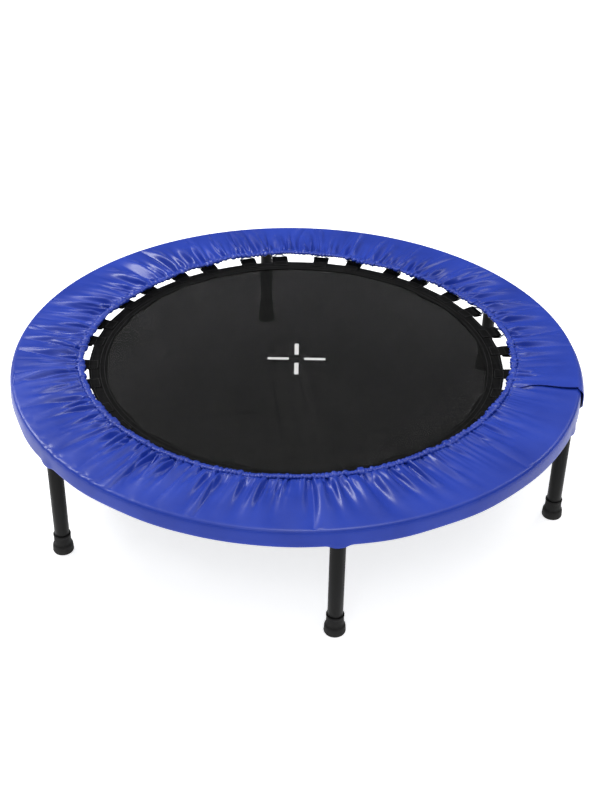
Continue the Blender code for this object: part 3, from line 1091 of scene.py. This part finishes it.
def makeTabStitches():
    # a row across each tab at its root and at the border's edge, and one along each side
    middles, ahead = [], []
    for angle in springAngles:
        radial = np.array((math.cos(angle), math.sin(angle), 0))
        aside = np.array((-math.sin(angle), math.cos(angle), 0))
        for r in (tab["rootR"] + 0.002, 0.3700, 0.3810):
            for s in np.arange(-0.0125, 0.0126, 0.0036):
                middles.append(radial * r + aside * s)
                ahead.append(aside)
        for s in (-0.0128, 0.0128):
            for r in np.arange(tab["rootR"] + 0.004, 0.3690, 0.0036):
                middles.append(radial * r + aside * s)
                ahead.append(radial)
    middles, ahead = np.array(middles), np.array(ahead)
    middles[:, 2] = borderHigh.z + 0.0006 + tab["thickness"] / 2
    beyond = np.hypot(middles[:, 0], middles[:, 1]) > 0.378
    middles[beyond, 2] = springZ + tab["barWire"] + tab["thickness"] * 1.1
    up = np.tile((0.0, 0.0, 1.0), (len(middles), 1))
    mesh = stitchMesh("tab_stitches", middles, ahead, up, 0.0027, 0.00036)
    return ridesDip(addObject("tab_stitches", mesh, (blackThread,)))


def makeMark():
    # a plain cross printed at the middle of the mat, left open at its centre
    bm = bmesh.new()
    for quarter in range(4):
        turn = Matrix.Rotation(quarter * pi / 2 + math.radians(cameraPlace["azimuth"]), 3, "Z")
        steps = 8
        rows = []
        for k in range(steps + 1):
            r = mat["markOpen"] + (mat["markArm"] - mat["markOpen"]) * k / steps
            rows.append([bm.verts.new(turn @ Vector((r, s * mat["markWide"] / 2, matHigh.z + 0.00015)))
                         for s in (-1, 1)])
        for a, b in zip(rows, rows[1:]):
            bm.faces.new((a[0], b[0], b[1], a[1]))
    mesh = bpy.data.meshes.new("centre_mark")
    bm.to_mesh(mesh)
    bm.free()
    return ridesDip(addObject("centre_mark", mesh, (whitePrint,)))


def makeBed():
    sheet = makeMat()
    band = makeBorder()
    tabs = makeTabs()
    tabStitches = makeTabStitches()
    mark = makeMark()
    print("mat made")


def makeTriangleRings():
    half, apexR = tab["width"] / 2 + 0.002, 0.4085
    side = [(tab["barR"], 0), (tab["barR"], half), (apexR, 0), (tab["barR"], -half), (tab["barR"], -0.0001)]
    outline = rounded([(x, y, 0) for x, y in side], 0.005, 7)
    for i, angle in enumerate(springAngles, start=1):
        turn = Matrix.Rotation(angle, 3, "Z")
        path = [turn @ Vector((p.x, p.y, springZ)) for p in outline[:-1]]
        name = f"triangle_ring_{i:02d}"
        wire = sweptTube(name, path, tab["barWire"] * 0.95, 10, closed=True)
        ridesDip(addObject(name, wire, (zinc,)))


spring = {
    "turns": 20,
    "coilR": 0.0049,         # of the wire's own centreline
    "wireR": 0.00108,
    "startR": 0.4165,
    "endR": 0.4630,
    "stepsPerTurn": 12,
}


def springPath():
    # hook in the triangle ring, closed coils, and the hook that drops into the tube; x is outwards
    enter = math.asin((springZ - ringZ) / tubeR)
    holeX, holeZ = ringR - tubeR * math.cos(enter), ringZ + tubeR * math.sin(enter) - springZ
    coilR, steps = spring["coilR"], spring["stepsPerTurn"]
    hookX, hookR = 0.4075, 0.0036
    inner = [(hookX + hookR * math.cos(a), 0, hookR * math.sin(a))
             for a in np.linspace(math.radians(-60), -pi * 1.35, 9)]
    inner += [(0.4125, 0, 0.0012)]
    turn = np.arange(spring["turns"] * steps + 1) / steps
    x = spring["startR"] + (spring["endR"] - spring["startR"]) * turn / spring["turns"]
    grow = np.clip(np.minimum(turn, spring["turns"] - turn) * 2, 0, 1)
    grow = 0.25 + 0.75 * grow
    coil = np.stack([x, coilR * grow * np.sin(2 * pi * turn), coilR * grow * np.cos(2 * pi * turn)], -1)
    outer = [(spring["endR"] + 0.0045, 0, 0.0010), (0.4730, 0, 0.0003), (holeX - 0.0030, 0, holeZ),
             (holeX + 0.0015, 0, holeZ - 0.0004), (holeX + 0.0045, 0, holeZ - 0.0016),
             (holeX + 0.0056, 0, holeZ - 0.0042), (holeX + 0.0050, 0, holeZ - 0.0068)]
    first = smoothPath(inner + [tuple(coil[0])], 26)
    last = smoothPath([tuple(coil[-1])] + outer, 22)
    return np.concatenate([first[:-1], coil, last[1:]])


def makeSprings():
    local = springPath()
    for i, angle in enumerate(springAngles, start=1):
        name = f"coil_spring_{i:02d}"
        path = turnedBy(angle, local[:, 0], local[:, 1], local[:, 2] + springZ)
        obj = addObject(name, sweptTube(name, path, spring["wireR"], 6), (zinc,))
        ridesDip(obj)
        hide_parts(f"spring_{i:02d}")
    print("springs made")


def makeRing():
    # the tube ring as a shell, with a hole punched for each spring hook
    angle = evenTurns(288)[:, None]
    turn = evenTurns(28)[None, :]
    outer = ringPoints(ringR + tubeR * np.cos(turn), angle, ringZ + tubeR * np.sin(turn))
    ring = addObject("tube_ring", outward(gridMesh("tube_ring", outer, closedAlong=True, closedAcross=True)),
                     (blackPaint,))
    enter = math.asin((springZ - ringZ) / tubeR)
    inward = Vector((-math.cos(enter), 0, math.sin(enter)))
    bm = bmesh.new()
    for a in springAngles:
        tilt = inward.to_track_quat("Z", "Y").to_matrix().to_4x4()
        entry = Vector((ringR, 0, ringZ)) + inward * tubeR
        bmesh.ops.create_cone(bm, cap_ends=True, segments=18, radius1=0.0034, radius2=0.0034, depth=0.014,
                              matrix=Matrix.Rotation(a, 4, "Z") @ Matrix.Translation(entry) @ tilt)
    mesh = bpy.data.meshes.new("hook_holes")
    bm.to_mesh(mesh)
    bm.free()
    drills = bpy.data.objects.new("hook_holes", mesh)
    scene.collection.objects.link(drills)
    punch = ring.modifiers.new("holes", "BOOLEAN")
    punch.operation = "DIFFERENCE"
    punch.object = drills
    solid = bpy.data.meshes.new_from_object(ring.evaluated_get(bpy.context.evaluated_depsgraph_get()))
    ring.modifiers.clear()
    solid.name = "tube_ring"
    ring.data = solid
    solid.shade_smooth()
    solid.set_sharp_from_angle(angle=math.radians(35))
    bpy.data.objects.remove(drills)
    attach(ring, "frame")
    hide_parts("frame_ring")


leg = {
    "tubeR": 0.0125,
    "wall": 0.0012,
    "plugLength": 0.028,
    "boreR": 0.0053,         # of the plug and the washer
    "threadR": 0.005,
    "threadPitch": 0.0015,
    "threadDepth": 0.00075,
    "steps": 64,
}


def threadedStud(low, high, radius):
    # M10 stud with a rolled thread; the thread fades out at both ends
    steps, perPitch = 32, 8
    rows = int((high - low) / leg["threadPitch"] * perPitch)
    z = np.linspace(low, high, rows)[:, None]
    turn = evenTurns(steps)[None, :]
    phase = np.mod((z - low) / leg["threadPitch"] - turn / (2 * pi), 1)
    fade = np.clip((z - low) / 0.002, 0, 1) * np.clip((high - z) / 0.001, 0, 1)
    r = radius - leg["threadDepth"] * (1 - np.abs(phase * 2 - 1)) * fade
    r = r - 0.0012 * np.clip(1 - (z - low) / 0.0014, 0, 1)
    points = np.stack([r * np.cos(turn), r * np.sin(turn), z + 0 * turn], -1)
    tip = np.repeat(np.array([[[0, 0, low]]]), steps, 1)
    top = np.repeat(np.array([[[0, 0, high]]]), steps, 1)
    return gridMesh("thread", np.concatenate([tip, points, top]), closedAcross=True)


def addLegPiece(name, mesh, material, angle, body):
    # a piece turned round its own axis, moved to its place under the ring
    obj = addObject(name, mesh, (material,))
    obj.location = (ringR * math.cos(angle), ringR * math.sin(angle), 0)
    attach(obj, body)
    return obj


def makeStud(i, angle):
    low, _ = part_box(f"leg_stud_{i}")
    _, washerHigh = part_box(f"leg_washer_{i}")
    bossZ = washerHigh.z + 0.0003
    corners = [(0.0, bossZ), (0.011, bossZ), (0.011, bossZ + 0.0060), (0.0122, bossZ + 0.0086),
               (0.0, bossZ + 0.0086)]
    mesh = turned(f"weld_boss_{i}", roundedProfile(corners, 0.0008), 48)
    boss = addLegPiece(f"weld_boss_{i}", mesh, blackPaint, angle, "frame")
    thread = outward(threadedStud(low.z, bossZ - 0.0001, leg["threadR"]), 40)
    addLegPiece(f"threaded_stud_{i}", thread, zinc, angle, "frame")
    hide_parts(f"leg_stud_{i}")


def makeWasher(i, angle):
    low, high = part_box(f"leg_washer_{i}")
    boreR, washerR = leg["boreR"], (high.x - low.x) / 2
    corners = [(boreR, high.z), (washerR, high.z), (washerR, low.z), (boreR, low.z)]
    mesh = turned(f"washer_{i}", roundedProfile(corners, 0.0003, True), 48)
    washer = addLegPiece(f"washer_{i}", mesh, zinc, angle, f"leg_{i}_nut")
    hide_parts(f"leg_washer_{i}")


def makeLegTube(i, angle):
    low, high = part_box(f"leg_tube_{i}")
    boreR, outerR, inner = leg["boreR"], leg["tubeR"], leg["tubeR"] - leg["wall"]
    plugZ = high.z - leg["plugLength"]
    corners = [(boreR, high.z), (outerR, high.z), (outerR, low.z), (inner, low.z), (inner, plugZ),
               (boreR, plugZ)]
    mesh = turned(f"leg_{i}_tube", roundedProfile(corners, 0.0010, True), leg["steps"])
    tube = addLegPiece(f"leg_{i}_tube", mesh, blackPaint, angle, f"leg_{i}")
    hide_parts(f"leg_tube_{i}")


def makeFoot(i, angle):
    mesh = turned(f"rubber_foot_{i}", footProfile(f"foot_{i}"), leg["steps"])
    foot = addLegPiece(f"rubber_foot_{i}", mesh, blackRubber, angle, f"leg_{i}")
    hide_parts(f"foot_{i}")


def makeLegs():
    for i, angle in enumerate(legAngles, start=1):
        makeStud(i, angle)
        makeWasher(i, angle)
        makeLegTube(i, angle)
        makeFoot(i, angle)
    print("legs made")


def roundedProfile(points, radius, closed=False):
    ring = [(r, z, 0) for r, z in points]
    if closed:
        middle = tuple((a + b) / 2 for a, b in zip(ring[0], ring[-1]))
        out = rounded([middle] + ring + [middle], radius, 3)[:-1]
    else:
        out = rounded(ring, radius, 3)
    return [(p[0], p[1]) for p in out]


def footProfile(node):
    low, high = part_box(node)
    flange, height = (high.x - low.x) / 2, high.z
    flange = max(flange, 0.0177)
    collar, bore = 0.0140, 0.0127
    outline = [(0.0, 0.0015), (0.011, 0.0015), (0.0122, 0.0), (flange - 0.0012, 0.0), (flange, 0.0025),
               (flange - 0.0006, 0.0125), (flange - 0.0012, 0.0155), (collar + 0.0012, 0.0172),
               (collar + 0.0004, 0.0200), (collar, height - 0.0050), (collar + 0.0006, height - 0.0040),
               (collar + 0.0006, height - 0.0004), (bore + 0.0002, height), (bore, height - 0.0020),
               (bore, 0.006), (0.0, 0.006)]
    return roundedProfile(outline, 0.0007)


makeCamera()
makeStudio()
makeCover()
makeBed()
makeTriangleRings()
makeSprings()
makeRing()
makeLegs()
